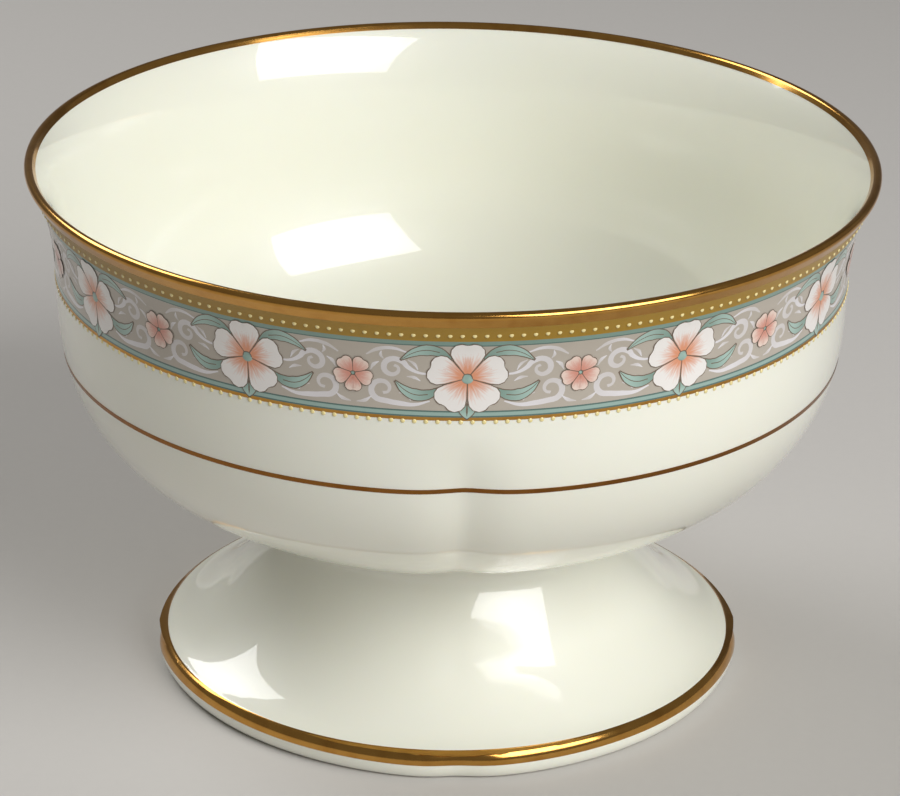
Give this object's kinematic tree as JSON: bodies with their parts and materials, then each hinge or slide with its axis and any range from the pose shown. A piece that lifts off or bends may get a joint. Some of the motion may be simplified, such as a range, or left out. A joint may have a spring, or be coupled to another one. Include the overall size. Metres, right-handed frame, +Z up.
{
  "type": "footed bowl",
  "caption": "Round porcelain bowl on a flared pedestal foot, with gilded edges and a printed band, for serving fruit, salad or dessert.",
  "frame": {"origin": "centre of the standing ring, on the table", "axes": "+Z up along the bowl's axis of turning; +X and +Y through two of the four creases"},
  "size_m": [0.1523, 0.1522, 0.0976],
  "materials": {
    "glazed_porcelain": "clear glossy glaze over ivory porcelain",
    "glazed_porcelain_foot": "clear glossy glaze over ivory porcelain, bare on the standing ring",
    "fired_slip": "glazed slip fillet",
    "burnished_gold": "burnished bright gold fired over the glaze",
    "line_gold": "thin hand-drawn gold line fired over the glaze",
    "gold_print": "raised gold enamel print",
    "ochre_print": "ochre ceramic transfer",
    "teal_print": "grey-teal ceramic transfer",
    "greige_print": "warm grey ceramic transfer",
    "cream_print": "raised cream enamel dots",
    "scroll_print": "pale ceramic transfer",
    "blossom_print": "white to peach ceramic transfer",
    "leaf_print": "teal ceramic transfer with dark outlines"
  },
  "bodies": {
    "root": {"bowl": "glazed_porcelain", "pedestal": "glazed_porcelain_foot", "slip_joint": "fired_slip", "rim_gilding": "burnished_gold", "bead_band": "ochre_print", "upper_line": "teal_print", "frieze_ground": "greige_print", "lower_line": "teal_print", "lower_gold_line": "gold_print", "waist_line": "line_gold", "foot_gilding": "burnished_gold"}
  },
  "joints": []
}
